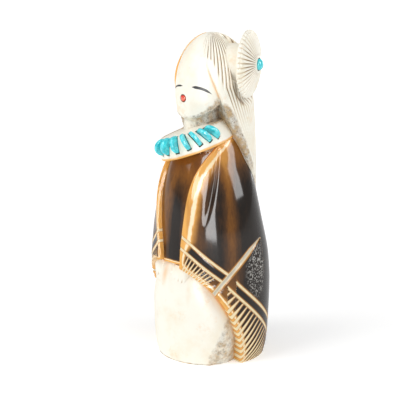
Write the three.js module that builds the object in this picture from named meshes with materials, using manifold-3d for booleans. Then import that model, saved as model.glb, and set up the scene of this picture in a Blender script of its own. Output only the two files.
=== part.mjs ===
import * as THREE from "three";
import { mergeVertices } from "three/addons/utils/BufferGeometryUtils.js";
import Module from "manifold-3d";

// A standing woman carved from one length of antler, with stones set into it.
// Millimetres and degrees. She faces -Y, her left is +X, and she stands on z = 0.
// An angle is counted about the Z axis from her front towards her left.

const overallHeight = 94.5;

// Body: half its greatest width, its greatest reach, and its outline as shares of them at shares
// of the overall height.
const bodyHalfWidth = 17.6;
const bodyReach = 17.4;
const bodyOutline = [
  { at: 0.0, side: 0.909, front: 0.914, back: 0.874 },
  { at: 0.035, side: 0.955, front: 0.954, back: 0.914 },
  { at: 0.11, side: 0.983, front: 0.977, back: 0.954 },
  { at: 0.23, side: 1.000, front: 1.000, back: 0.977 },
  { at: 0.31, side: 1.000, front: 1.000, back: 0.925 },
  { at: 0.36, side: 0.972, front: 0.989, back: 0.874 },
  { at: 0.43, side: 0.920, front: 0.960, back: 0.764 },
  { at: 0.52, side: 0.824, front: 0.902, back: 0.661 },
  { at: 0.58, side: 0.722, front: 0.833, back: 0.626 },
  { at: 0.62, side: 0.636, front: 0.759, back: 0.598 },
  { at: 0.66, side: 0.580, front: 0.655, back: 0.563 },
  { at: 0.69, side: 0.511, front: 0.540, back: 0.494 },
];
const outlineSquareness = 2.0;

// Head: its widest level, its reach there, and how square its dome is.
const headWidestHeight = 77.0;
const faceHalfWidth = 8.8;
const faceReach = 11.1;
const headBackReach = 9.5;
const headSquareness = 2.1;
const domeRise = 2.2;
const domeRound = 2.0;
const chinHeight = 71.6;
const jawRise = 3.4;
const jawEndAngle = 56;
const jawSoftness = 1.4;
const chinTuck = 0.5;
const jawFadeAngle = 84;
const jawBlendHeight = 6.4;

// Neck: an upright round column set forward of the axis, clear of the shoulders above a level.
const neckRadius = 5.0;
const neckForward = 4.0;
const neckBaseHeight = 61.0;
const neckClearHeight = 67.0;

// Shawl: its two front edges part above the waist, and its hem is an arch over the skirt.
const waistHeight = 30.0;
const nearWaistAngle = 13.0;
const farWaistAngle = 10.0;
const shoulderHeight = 64.0;
const nearShoulderAngle = 58.0;
const farShoulderAngle = 56.0;
const nearEdgeStraight = 0.22;
const nearEdgeCurve = 7.0;
const farEdgeStraight = 0.0;
const farEdgeCurve = 1.4;
const archHalfAngle = 77.0;
const archAngleCurve = 1.7;
const nearArchTop = 29.8;
const nearArchCurve = 1.9;
const farArchTop = 30.6;
const farArchCurve = 2.6;
const dressRecess = 1.0;
const coreInsetUnderSkirt = 5.0;
const panelLineTopAngle = 104.5;
const panelLineTopHeight = 36.6;
const panelLineLowAngle = 46.0;
const panelLineLowHeight = 21.6;
const panelLineWidth = 1.5;
const panelLineDepth = 0.7;
const rollHeight = 0.55;
const rollWidth = 7.0;
const foldDepth = 0.7;
const foldWidth = 3.2;
const foldLowAngle = 42.0;
const foldTopAngle = 56.0;
const foldBottom = 46.0;
const shawlTop = 65.0;

// Skirt: cut back under the arch, then full again below it.
const archRecess = 2.4;
const archRecessFall = 3.4;
const skirtInset = 0.3;
const marrowStartAngle = 43.0;
const marrowSlope = 0.2;
const marrowDepth = 0.9;

// Hands under the hem: centre angle, centre height, half width, half height, lean.
const handCentreHeight = 24.4;
const handHalfHeight = 5.2;
const nearHandAngle = 9.5;
const nearHandHalfAngle = 10.5;
const farHandAngle = -28.0;
const farHandHalfAngle = 13.0;
const handLean = 0.9;
const handRise = 2.2;
const handInset = 0.9;
const fingerCount = 4;
const fingerGroove = 0.3;

// Hair: falls from the crown over the back, its front edges raised beside the face.
const hairOutline = [
  { at: 0.5, side: 12.3, front: 12.3, back: 12.4 },
  { at: 0.62, side: 12.0, front: 12.0, back: 12.6 },
  { at: 0.74, side: 10.9, front: 10.6, back: 12.9 },
  { at: 0.825, side: 10.3, front: 9.8, back: 12.4 },
];
const hairSquareness = 2.4;
const hairBottom = 49.0;
const hairEdgeAngle = 45.0;
const hairEdgeHeight = 83.4;
const hairEdgeSlope = 2.45;
const hairTopProud = 0.2;
const hairSideProud = 0.6;
const hairSideHeight = 76.0;
const hairTopHeight = 88.0;
const hairLocks = 18;
const lockDepth = 0.5;

// Whorl of hair on her left: a ribbed shallow dome on a stem, standing clear of the head.
const whorlAngle = 115.0;
const whorlHeight = 86.0;
const whorlRadius = 9.6;
const whorlRimReach = 11.9;
const whorlDome = 2.6;
const whorlRimThickness = 1.3;
const whorlStemRadius = 5.6;
const whorlStemStart = 4.0;
const whorlStemShoulder = 2.6;
const whorlRibs = 20;
const whorlRibDepth = 0.4;
const whorlHollowHalfWidth = 6.2;
const whorlHollowHalfHeight = 10.0;
const whorlHollowHeight = 84.5;
const whorlHollowDepth = 1.3;

// Collar: a rounded band around the neck, leaning down towards her right.
const collarForward = 5.2;
const collarHeight = 62.0;
const collarTilt = 19.6;
const collarLowAngle = -57.0;
const collarRadius = 11.0;
const collarTopElevation = 31.0;
const collarNeckRadius = 5.4;
const collarNeckHeight = 6.2;

// Necklace: round slabs on edge in slots, their planes fanning from a point before the chin.
const stoneRadius = 2.45;
const stoneThickness = 1.1;
const stoneEdgeRound = 0.3;
const stoneReach = 11.1;
const stoneElevation = 20.6;
const stoneAngles = [-16, -1, 16, 33, 49, 64, 78];
const stoneFanPoint = new THREE.Vector3(-1.7, -18.1, 77.5);
const stoneSides = 12;
const slotGap = 0.3;
const slotSides = 10;

// Inlays.
const settingGap = 0.3;
const mouthHeight = 76.9;
const mouthRadius = 0.85;
const mouthDepth = 1.6;
const mouthProud = 0.25;
const cabochonRadius = 1.6;
const cabochonSeat = 1.1;
const cabochonRise = 0.95;
const roundSides = 12;

// Facets: columns around each surface, closer together at the front of the core.
const coreColumns = 34;
const frontGather = 26;
const skirtColumns = 20;
const skirtUnderlap = 2;
const shawlColumns = 36;
const collarSides = 26;
const grooveSteps = 10;

// Surfaces laid over the core reach inwards this far from the axis, so that they join solidly.
const innerReach = 4.0;
const crownInnerReach = 0.5;
const crownInnerDrop = 0.3;

const wasm = await Module();
wasm.setup();

const rad = THREE.MathUtils.degToRad;

function smooth(low, high, value) {
  return THREE.MathUtils.smoothstep(value, low, high);
}

// Smooth curve through a list of stations, read at one share of the overall height.
function station(list, share, name) {
  const last = list.length - 1;
  if (share <= list[0].at) return list[0][name];
  if (share >= list[last].at) return list[last][name];
  let i = 0;
  while (share > list[i + 1].at) i += 1;
  const slope = (a, b) => (list[b][name] - list[a][name]) / (list[b].at - list[a].at);
  const span = list[i + 1].at - list[i].at;
  const t = (share - list[i].at) / span;
  const startSlope = slope(Math.max(i - 1, 0), i + 1) * span;
  const endSlope = slope(i, Math.min(i + 2, last)) * span;
  const rise = list[i + 1][name] - list[i][name];
  const bend = (t * t * (3 - 2 * t)) * rise;
  return list[i][name] + bend + t * (1 - t) * ((1 - t) * startSlope - t * endSlope);
}

// Distance from the axis to a rounded outline with its own half width, front and back.
function oval(angle, side, front, back, squareness) {
  const across = Math.abs(Math.sin(rad(angle))) / side;
  const along = Math.abs(Math.cos(rad(angle))) / (Math.cos(rad(angle)) > 0 ? front : back);
  return (across ** squareness + along ** squareness) ** (-1 / squareness);
}

function bodyRadius(angle, z) {
  const share = z / overallHeight;
  return oval(
    angle,
    bodyHalfWidth * station(bodyOutline, share, "side"),
    bodyReach * station(bodyOutline, share, "front"),
    bodyReach * station(bodyOutline, share, "back"),
    outlineSquareness,
  );
}

// Angle of the shawl's front edge at a height, as a positive angle on either side.
function shawlEdge(z, near) {
  const waistAngle = near ? nearWaistAngle : farWaistAngle;
  const topAngle = near ? nearShoulderAngle : farShoulderAngle;
  const archTop = near ? nearArchTop : farArchTop;
  const archCurve = near ? nearArchCurve : farArchCurve;
  const climb = Math.max(z - waistHeight, 0) / (shoulderHeight - waistHeight);
  const straight = near ? nearEdgeStraight : farEdgeStraight;
  const curve = near ? nearEdgeCurve : farEdgeCurve;
  const parting = straight * climb + (1 - straight) * climb ** curve;
  const opening = waistAngle + (topAngle - waistAngle) * parting;
  const drop = Math.max(1 - (Math.min(z, archTop) / archTop) ** archCurve, 0);
  const arch = archHalfAngle * drop ** (1 / archAngleCurve);
  return Math.max(opening, arch);
}

// Height of the arch over the skirt at an angle.
function archHeight(angle) {
  const near = angle >= 0;
  const share = Math.min(Math.abs(angle) / archHalfAngle, 1);
  const left = 1 - share ** archAngleCurve;
  return (near ? nearArchTop : farArchTop) * left ** (1 / (near ? nearArchCurve : farArchCurve));
}

// Level of the jaw line at an angle from the front.
function jawHeight(angle) {
  return chinHeight + jawRise * (Math.abs(angle) / jawEndAngle) ** 2;
}

// Share of the head's full reach left at a height in the dome.
function domeShare(z) {
  const climb = Math.max(z - headWidestHeight, 0) / (overallHeight - headWidestHeight);
  return Math.max(1 - climb ** domeRise, 0) ** (1 / domeRound);
}

// Distance from the axis to the neck's surface.
function neckReach(angle) {
  const forward = neckForward * Math.cos(rad(angle));
  const across = neckForward * Math.sin(rad(angle));
  return forward + Math.sqrt(neckRadius ** 2 - across ** 2);
}

// Perpendicular distance from a point under the arch up to its edge.
function belowArch(angle, z) {
  const down = archHeight(angle) - z;
  const sideways = rad(shawlEdge(z, angle >= 0) - Math.abs(angle)) * bodyRadius(angle, z);
  if (down <= 0 || sideways <= 0) return 0;
  return (down * sideways) / Math.hypot(down, sideways);
}

// The skirt: cut back just under the arch, full below it, marrow showing at its near lower corner.
function skirtRadius(angle, z) {
  const cutBack = archRecess * Math.exp(-((belowArch(angle, z) / archRecessFall) ** 1.5));
  const marrow = marrowDepth * smooth(0, 1.2, (angle - marrowStartAngle) * marrowSlope - z);
  return bodyRadius(angle, z) - skirtInset - cutBack - marrow;
}

// The carving inside the shawl and hair: dress, neck, face and crown.
function coreRadius(angle, z) {
  const signed = angle > 180 ? angle - 360 : angle;
  const body = bodyRadius(angle, z);
  const lower = body - (z < waistHeight ? coreInsetUnderSkirt : dressRecess);
  const tuck = chinTuck * (1 - smooth(chinHeight, headWidestHeight, z));
  const dome = domeShare(z);
  const face = oval(angle, faceHalfWidth - tuck, faceReach - tuck, headBackReach, headSquareness);
  const jaw = jawHeight(Math.min(Math.abs(signed), jawFadeAngle));
  const headIn = smooth(jaw - jawSoftness, jaw, z);
  const neck = neckReach(angle);
  const upper = neck + (face * dome - neck) * headIn;
  if (z < neckBaseHeight) return lower;
  return z > neckClearHeight ? upper : Math.max(lower, neck);
}

// The shawl's outer surface: rolled front edges and one fold below each shoulder.
function shawlRadius(angle, z) {
  const near = angle <= 180;
  const fromFront = near ? angle : 360 - angle;
  const pastEdge = fromFront - shawlEdge(z, near);
  const open = smooth(waistHeight - 2, waistHeight + 4, z);
  const roll = rollHeight * Math.exp(-((pastEdge / rollWidth) ** 2)) * open;
  const climb = (z - foldBottom) / (shoulderHeight - foldBottom);
  const foldAt = foldLowAngle + (foldTopAngle - foldLowAngle) * climb;
  const foldFade = smooth(foldBottom - 6, foldBottom + 8, z);
  const fold = foldDepth * Math.exp(-(((fromFront - foldAt) / foldWidth) ** 2)) * foldFade;
  return bodyRadius(angle, z) + roll - fold;
}

// Angle of the hair's front edge at a height.
function hairEdge(z) {
  return hairEdgeAngle + hairEdgeSlope * (hairEdgeHeight - z);
}

// The hair's outer surface: its outline, less the hollow behind the whorl and the locks.
function hairRadius(angle, z, lockShare) {
  const share = Math.min(z, headWidestHeight) / overallHeight;
  const outline = oval(
    angle,
    station(hairOutline, share, "side"),
    station(hairOutline, share, "front"),
    station(hairOutline, share, "back"),
    hairSquareness,
  );
  const core = coreRadius(angle, z);
  const proud = hairTopProud + (1 - smooth(hairSideHeight, hairTopHeight, z)) * hairSideProud;
  const crown = Math.max(outline * domeShare(z), core + proud);
  const offset = rad(angle - whorlAngle) * outline;
  const ring = Math.hypot(offset / whorlHollowHalfWidth, (z - whorlHollowHeight) / whorlHollowHalfHeight);
  const hollow = whorlHollowDepth * (1 - smooth(0.85, 1.05, ring));
  const lock = lockDepth * (0.5 - 0.5 * Math.cos(2 * Math.PI * hairLocks * lockShare));
  return crown - hollow - lock;
}

function polar(angle, radius, z) {
  return new THREE.Vector3(radius * Math.sin(rad(angle)), -radius * Math.cos(rad(angle)), z);
}

// Turns a list of points and a list of triangles into a closed solid.
function solidFrom(points, triangles) {
  return new wasm.Manifold(
    new wasm.Mesh({
      numProp: 3,
      vertProperties: new Float32Array(points.flatMap((p) => [p.x, p.y, p.z])),
      triVerts: new Uint32Array(triangles),
    }),
  );
}

function solidFromGeometry(geometry) {
  const plain = geometry.clone();
  plain.deleteAttribute("normal");
  plain.deleteAttribute("uv");
  const merged = mergeVertices(plain, 1e-5);
  return new wasm.Manifold(
    new wasm.Mesh({
      numProp: 3,
      vertProperties: new Float32Array(merged.attributes.position.array),
      triVerts: new Uint32Array(merged.index.array),
    }),
  );
}

function geometryFromSolid(solid) {
  const mesh = solid.getMesh();
  const geometry = new THREE.BufferGeometry();
  geometry.setAttribute("position", new THREE.BufferAttribute(mesh.vertProperties, 3));
  geometry.setIndex(new THREE.BufferAttribute(mesh.triVerts, 1));
  geometry.computeVertexNormals();
  return geometry;
}

// Closed solid all the way around the axis, with a flat bottom and a pointed top. Its columns
// stand closer together at the front.
function turned(columns, levels, heightAt, radiusAt) {
  const points = [];
  const triangles = [];
  for (const level of levels) {
    for (let i = 0; i < columns; i += 1) {
      const turn = i / columns;
      const angle = 360 * turn - frontGather * Math.sin(2 * Math.PI * turn);
      const z = heightAt(angle, level);
      points.push(polar(angle, radiusAt(angle, z), z));
    }
  }
  const bottom = points.push(new THREE.Vector3(0, 0, levels[0])) - 1;
  const top = points.push(new THREE.Vector3(0, 0, overallHeight)) - 1;
  const lastRow = (levels.length - 1) * columns;
  for (let i = 0; i < columns; i += 1) {
    const next = (i + 1) % columns;
    triangles.push(bottom, next, i, top, lastRow + i, lastRow + next);
    for (let j = 0; j < levels.length - 1; j += 1) {
      const a = j * columns + i;
      const b = j * columns + next;
      triangles.push(a, b, b + columns, a, b + columns, a + columns);
    }
  }
  return solidFrom(points, triangles);
}

// Closed solid between an outer and an inner surface over a patch u, v from 0 to 1.
function patch(columns, rows, outerAt, innerAt) {
  const points = [];
  const triangles = [];
  const width = columns + 1;
  const layer = width * (rows + 1);
  for (const pointAt of [outerAt, innerAt]) {
    for (let j = 0; j <= rows; j += 1) {
      for (let i = 0; i <= columns; i += 1) points.push(pointAt(i / columns, j / rows));
    }
  }
  const quad = (a, b, c, d) => triangles.push(a, b, c, a, c, d);
  for (let j = 0; j < rows; j += 1) {
    for (let i = 0; i < columns; i += 1) {
      const a = j * width + i;
      quad(a, a + 1, a + width + 1, a + width);
      quad(layer + a, layer + a + width, layer + a + width + 1, layer + a + 1);
    }
    const left = j * width;
    const right = left + columns;
    quad(left, left + width, layer + left + width, layer + left);
    quad(right, layer + right, layer + right + width, right + width);
  }
  for (let i = 0; i < columns; i += 1) {
    const low = i;
    const high = rows * width + i;
    quad(low, layer + low, layer + low + 1, low + 1);
    quad(high, high + 1, layer + high + 1, layer + high);
  }
  return solidFrom(points, triangles);
}

// Heights from low to high, closer together where the stops say so.
function levelsThrough(stops) {
  const levels = [];
  for (let i = 0; i < stops.length - 1; i += 1) {
    const [low, steps] = stops[i];
    const high = stops[i + 1][0];
    for (let k = 0; k < steps; k += 1) levels.push(low + ((high - low) * k) / steps);
  }
  levels.push(stops[stops.length - 1][0]);
  return levels;
}

function levelAt(levels, share) {
  return levels[Math.round(share * (levels.length - 1))];
}

const coreLevels = levelsThrough([
  [0, 1],
  [waistHeight - 1, 1],
  [waistHeight + 1, 6],
  [neckBaseHeight, 2],
  [neckClearHeight - 0.5, 1],
  [chinHeight - jawSoftness, 2],
  [chinHeight, 3],
  [headWidestHeight, 4],
  [overallHeight - 6.5, 3],
  [overallHeight - 1.9, 1],
  [overallHeight - 0.7, 1],
  [overallHeight - 0.2],
]);

// Levels of the core follow the jaw line around the face and flatten out away from it.
function coreHeight(angle, level) {
  const fromFront = Math.min(angle, 360 - angle);
  const lift = jawHeight(Math.min(fromFront, jawEndAngle)) - chinHeight;
  const near = Math.max(1 - Math.abs(level - chinHeight) / jawBlendHeight, 0);
  return level + lift * near;
}

const core = turned(coreColumns, coreLevels, coreHeight, coreRadius);

// The skirt fills the arch between the two hems.
const skirtLevels = levelsThrough([
  [0, 1],
  [1.2, 3],
  [12, 3],
  [22, 6],
  [nearArchTop],
]);
const skirt = patch(
  skirtColumns,
  skirtLevels.length - 1,
  (u, v) => {
    const z = levelAt(skirtLevels, v);
    const angle = skirtAngle(u, z);
    return polar(angle, skirtRadius(angle, z), z);
  },
  (u, v) => {
    const z = levelAt(skirtLevels, v);
    return polar(skirtAngle(u, z), innerReach, z);
  },
);

function skirtAngle(u, z) {
  const start = -shawlEdge(z, false) - skirtUnderlap;
  const end = shawlEdge(z, true) + skirtUnderlap;
  return start + (end - start) * u;
}

const shawlLevels = levelsThrough([
  [0, 1],
  [1.2, 3],
  [12, 3],
  [22, 6],
  [31, 6],
  [58, 4],
  [shawlTop],
]);
const shawl = patch(
  shawlColumns,
  shawlLevels.length - 1,
  (u, v) => {
    const z = levelAt(shawlLevels, v);
    const angle = shawlAngle(u, z);
    return polar(angle, shawlRadius(angle, z), z);
  },
  (u, v) => {
    const z = levelAt(shawlLevels, v);
    return polar(shawlAngle(u, z), innerReach, z);
  },
);

// Columns of the shawl run from its near edge round the back, closer together at both edges.
function shawlAngle(u, z) {
  const start = shawlEdge(z, true);
  const end = 360 - shawlEdge(z, false);
  const gathered = u - 0.055 * Math.sin(4 * Math.PI * u);
  return start + (end - start) * gathered;
}

const hairLevels = levelsThrough([
  [hairBottom, 3],
  [60, 4],
  [74, 5],
  [overallHeight - 6.5, 4],
  [overallHeight - 1.3, 1],
  [overallHeight - 0.3],
]);

function hairAngle(u, z) {
  const edge = hairEdge(z);
  return edge + (360 - 2 * edge) * u;
}

const hair = patch(
  2 * hairLocks,
  hairLevels.length - 1,
  (u, v) => {
    const z = levelAt(hairLevels, v);
    const angle = hairAngle(u, z);
    return polar(angle, hairRadius(angle, z, u), z);
  },
  (u, v) => {
    const z = levelAt(hairLevels, v);
    return polar(hairAngle(u, z), crownInnerReach * domeShare(z), z - crownInnerDrop);
  },
);

// Places a solid of revolution, modelled about +Y, on a point with its axis along a direction.
function placed(geometry, origin, direction) {
  const turn = new THREE.Quaternion().setFromUnitVectors(new THREE.Vector3(0, 1, 0), direction);
  return geometry.applyQuaternion(turn).translate(origin.x, origin.y, origin.z);
}

function lathe(profile, sides) {
  return new THREE.LatheGeometry(
    profile.map(([x, y]) => new THREE.Vector2(x, y)),
    sides,
  );
}

const whorlAxis = polar(whorlAngle, 1, 0);
const whorlFoot = new THREE.Vector3(0, 0, whorlHeight);

// Stem, thin rim and shallow dome, with every other column drawn in to make the ribs.
function whorlDisc() {
  const rings = [
    [0, whorlStemStart],
    [whorlStemRadius, whorlStemStart],
    [whorlStemRadius, whorlRimReach - whorlStemShoulder],
    [whorlRadius - 0.4, whorlRimReach - whorlRimThickness],
    [whorlRadius, whorlRimReach - whorlRimThickness / 2],
    [whorlRadius - 0.3, whorlRimReach],
    [whorlRadius * 0.72, whorlRimReach + whorlDome * 0.48],
    [whorlRadius * 0.42, whorlRimReach + whorlDome * 0.82],
    [cabochonRadius + settingGap, whorlRimReach + whorlDome],
    [0, whorlRimReach + whorlDome],
  ];
  const disc = lathe(rings, 2 * whorlRibs);
  const position = disc.attributes.position;
  for (let k = 0; k < position.count; k += 1) {
    const spot = new THREE.Vector3().fromBufferAttribute(position, k);
    const distance = Math.hypot(spot.x, spot.z);
    const turn = Math.atan2(spot.x, spot.z) / (2 * Math.PI);
    const groove = Math.cos(2 * Math.PI * whorlRibs * turn) < 0;
    const outer = distance > 3 && spot.y > whorlRimReach - whorlRimThickness - 0.01;
    if (groove && outer) {
      const shrink = (distance - whorlRibDepth / 2) / distance;
      position.setXYZ(k, spot.x * shrink, spot.y - whorlRibDepth * 0.8, spot.z * shrink);
    }
  }
  return solidFromGeometry(placed(disc, whorlFoot, whorlAxis));
}

const collarCentre = new THREE.Vector3(0, -collarForward, collarHeight);
const collarAxis = polar(collarLowAngle, Math.sin(rad(collarTilt)), Math.cos(rad(collarTilt)));
const collarLow = polar(collarLowAngle, Math.cos(rad(collarTilt)), -Math.sin(rad(collarTilt)));
const collarSide = collarAxis.clone().cross(collarLow);

// The band's profile is an arc from its widest line up, then a slope to the neck.
function collarBand() {
  const profile = [[0, 0]];
  const steps = 5;
  for (let k = 0; k <= steps; k += 1) {
    const lift = rad((collarTopElevation * k) / steps);
    profile.push([collarRadius * Math.cos(lift), collarRadius * Math.sin(lift)]);
  }
  profile.push([collarNeckRadius, collarNeckHeight], [0, collarNeckHeight]);
  return solidFromGeometry(placed(lathe(profile, collarSides), collarCentre, collarAxis));
}

// Centre, outward direction and slab normal of one necklace stone.
function stoneSeat(angle) {
  const fromLow = rad(angle - collarLowAngle);
  const out = collarLow.clone().multiplyScalar(Math.cos(fromLow)).addScaledVector(collarSide, Math.sin(fromLow));
  const direction = out
    .multiplyScalar(Math.cos(rad(stoneElevation)))
    .addScaledVector(collarAxis, Math.sin(rad(stoneElevation)));
  const centre = collarCentre.clone().addScaledVector(direction, stoneReach);
  const towardsFan = stoneFanPoint.clone().sub(centre);
  return { centre, normal: direction.clone().cross(towardsFan).normalize() };
}

// A round slab with its two rims bevelled.
function slab(radius, thickness, rounding) {
  const half = thickness / 2;
  return lathe(
    [
      [0, -half],
      [radius - rounding, -half],
      [radius, -half + rounding],
      [radius, half - rounding],
      [radius - rounding, half],
      [0, half],
    ],
    stoneSides,
  );
}

function stone(angle) {
  const { centre, normal } = stoneSeat(angle);
  return placed(slab(stoneRadius, stoneThickness, stoneEdgeRound), centre, normal);
}

// The slot that a stone stands in: a plain round cut a little larger than the stone.
function slot(angle) {
  const { centre, normal } = stoneSeat(angle);
  const half = stoneThickness / 2 + slotGap;
  const radius = (stoneRadius + slotGap) / Math.cos(Math.PI / slotSides);
  const cut = lathe(
    [
      [0, -half],
      [radius, -half],
      [radius, half],
      [0, half],
    ],
    slotSides,
  );
  return placed(cut, centre, normal);
}

// A hand: a rounded tapering pad with shallow grooves between the fingers.
function hand(centreAngle, halfAngle, lean) {
  const columns = 2 * fingerCount;
  const at = (u, v, lift) => {
    const up = 2 * v - 1;
    const z = handCentreHeight + handHalfHeight * up;
    const narrowing = 0.72 + 0.28 * smooth(-1, 0.6, up);
    const angle = centreAngle + lean * (z - handCentreHeight) + halfAngle * narrowing * (2 * u - 1);
    const roundAcross = Math.sqrt(Math.max(1 - (2 * u - 1) ** 4, 0));
    const round = roundAcross * Math.sqrt(Math.max(1 - Math.max(-up, 0) ** 4, 0));
    const groove = Math.round(u * columns) % 2 === 0 ? fingerGroove * (1 - smooth(-0.4, 0.4, up)) : 0;
    const base = bodyRadius(angle, z) - handRise - handInset;
    return polar(angle, base + (lift ? handRise * round - groove * round : -3), z);
  };
  return patch(columns, 8, (u, v) => at(u, v, true), (u, v) => at(u, v, false));
}

// A point and outward direction on the shawl at an angle and height.
function onShawl(angle, z) {
  const at = (a, h) => polar(a, shawlRadius((a + 360) % 360, h), h);
  const point = at(angle, z);
  const around = at(angle + 1, z).sub(at(angle - 1, z));
  const up = at(angle, z + 0.5).sub(at(angle, z - 0.5));
  return { point, outward: around.cross(up).normalize() };
}

// Cutter for a V groove along a line on the shawl, narrow where the line starts.
function grooveCutter(line, steps, width, depth) {
  const points = [];
  const triangles = [];
  for (let k = 0; k <= steps; k += 1) {
    const share = k / steps;
    const { point, outward } = onShawl(...line(share));
    const ahead = onShawl(...line(share + 0.01)).point;
    const behind = onShawl(...line(share - 0.01)).point;
    const across = ahead.sub(behind).cross(outward).normalize();
    const taper = Math.min(1, 0.25 + 3 * share);
    const lip = point.clone().addScaledVector(outward, depth * 0.4);
    const bottom = point.clone().addScaledVector(outward, -depth * taper);
    points.push(
      lip.clone().addScaledVector(across, -width * 0.7 * taper),
      bottom,
      lip.clone().addScaledVector(across, width * 0.7 * taper),
    );
    if (k === 0) continue;
    const now = 3 * k;
    const last = now - 3;
    for (let e = 0; e < 3; e += 1) {
      const f = (e + 1) % 3;
      triangles.push(last + e, now + e, now + f, last + e, now + f, last + f);
    }
  }
  const end = 3 * steps;
  triangles.push(0, 1, 2, end, end + 2, end + 1);
  return solidFrom(points, triangles);
}

const pieces = [];

function piece(name, solid, colour, roughness) {
  const material = new THREE.MeshStandardMaterial({ color: colour, roughness, metalness: 0 });
  const mesh = new THREE.Mesh(geometryFromSolid(solid), material);
  mesh.name = name;
  pieces.push(mesh);
}

let carving = core
  .add(skirt)
  .add(shawl)
  .add(hair)
  .add(whorlDisc())
  .add(collarBand())
  .add(hand(nearHandAngle, nearHandHalfAngle, handLean))
  .add(hand(farHandAngle, farHandHalfAngle, -handLean));

// The line where the back panel of the shawl laps over the front one, on both sides.
for (const side of [1, -1]) {
  const line = (share) => {
    const angle = panelLineTopAngle + (panelLineLowAngle - panelLineTopAngle) * share;
    const z = panelLineTopHeight - (panelLineTopHeight - panelLineLowHeight) * Math.max(share, 0) ** 1.5;
    return [side * angle, z];
  };
  carving = carving.subtract(grooveCutter(line, grooveSteps, panelLineWidth, panelLineDepth));
}

stoneAngles.forEach((angle, k) => {
  carving = carving.subtract(solidFromGeometry(slot(angle)));
  piece(`necklace_stone_${k + 1}`, solidFromGeometry(stone(angle)), "#3fc7cf", 0.3);
});

// Mouth inlay: a small round plug with a domed face, let into the front of the face.
const mouthSeat = new THREE.Vector3(0, -coreRadius(0, mouthHeight), mouthHeight);
const forwards = new THREE.Vector3(0, -1, 0);

function plug(radius, depth, seat, rise) {
  const steps = 4;
  const profile = [
    [0, -depth],
    [radius, -depth],
    [radius, seat],
  ];
  for (let k = 1; k <= steps; k += 1) {
    const turn = (Math.PI / 2) * (k / steps);
    profile.push([k === steps ? 0 : radius * Math.cos(turn), seat + rise * Math.sin(turn)]);
  }
  return lathe(profile, roundSides);
}

const mouthHole = plug(mouthRadius + settingGap, mouthDepth + settingGap, 2, 1);
carving = carving.subtract(solidFromGeometry(placed(mouthHole, mouthSeat, forwards)));
piece(
  "mouth_coral",
  solidFromGeometry(placed(plug(mouthRadius, mouthDepth, 0, mouthProud), mouthSeat, forwards)),
  "#c8281e",
  0.35,
);

const cabochonSpot = whorlFoot.clone().addScaledVector(whorlAxis, whorlRimReach + whorlDome);
const cabochonHole = plug(cabochonRadius + settingGap, cabochonSeat + settingGap, 2, 1);
carving = carving.subtract(solidFromGeometry(placed(cabochonHole, cabochonSpot, whorlAxis)));
piece(
  "whorl_cabochon",
  solidFromGeometry(placed(plug(cabochonRadius, cabochonSeat, 0.1, cabochonRise), cabochonSpot, whorlAxis)),
  "#3fc7cf",
  0.3,
);

piece("antler_carving", carving, "#e6dcc4", 0.5);

const group = new THREE.Group();
group.add(...pieces);

export default group;
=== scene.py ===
import math

import bpy
import numpy as np
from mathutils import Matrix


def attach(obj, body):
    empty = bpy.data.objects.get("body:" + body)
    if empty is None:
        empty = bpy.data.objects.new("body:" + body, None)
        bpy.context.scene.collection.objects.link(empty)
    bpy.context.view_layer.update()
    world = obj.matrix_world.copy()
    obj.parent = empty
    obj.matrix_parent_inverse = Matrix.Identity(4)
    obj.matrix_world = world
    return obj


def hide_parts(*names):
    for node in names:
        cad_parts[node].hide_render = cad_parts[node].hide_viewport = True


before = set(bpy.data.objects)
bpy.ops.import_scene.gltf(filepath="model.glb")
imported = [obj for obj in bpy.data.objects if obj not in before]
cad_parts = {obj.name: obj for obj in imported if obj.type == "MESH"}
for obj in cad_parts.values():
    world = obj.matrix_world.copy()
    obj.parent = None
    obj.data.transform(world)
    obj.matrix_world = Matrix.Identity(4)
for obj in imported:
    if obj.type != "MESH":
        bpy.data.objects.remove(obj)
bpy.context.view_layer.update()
scene = bpy.context.scene

mm = 0.001

# Lengths are millimetres and angles degrees until a mesh is made. She faces -Y, her left is +X.
height = 94.5
noLine = 9.0  # stands for the distance to a line where there is none
shells = {
    "core": 0, "skirt": 1, "shawl": 2, "hair": 3, "whorl": 4, "collar": 5, "slot": 6, "hole": 6, "hand": 7,
}


def smooth(low, high, value):  # three t squared less two t cubed, t running from low to high
    t = np.clip((value - low) / (high - low), 0.0, 1.0)
    return t * t * (3 - 2 * t)


def bell(value, centre, width):  # e to the minus square of the distance from the centre in widths
    return np.exp(-(((value - centre) / width) ** 2))


def station(table, key, share):  # cubic between stations, its slope at each from the two beside it
    at, val = np.array(table["shares"]), np.array(table[key])
    share = np.clip(share, at[0], at[-1])
    i = np.clip(np.searchsorted(at, share, side="right") - 1, 0, len(at) - 2)
    lo, hi = np.maximum(i - 1, 0), np.minimum(i + 2, len(at) - 1)
    span = at[i + 1] - at[i]
    t = (share - at[i]) / span
    first = (val[i + 1] - val[lo]) / (at[i + 1] - at[lo]) * span
    last = (val[hi] - val[i]) / (at[hi] - at[i]) * span
    rise = val[i + 1] - val[i]
    return val[i] + t * t * (3 - 2 * t) * rise + t * (1 - t) * ((1 - t) * first - t * last)


def oval(angle, side, front, back, square):  # superellipse: (sin/side)^n + (cos/end)^n = r^-n
    a = np.radians(angle)
    across = np.abs(np.sin(a)) / side
    along = np.abs(np.cos(a)) / np.where(np.cos(a) > 0, front, back)
    return (across**square + along**square) ** (-1 / square)


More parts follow.
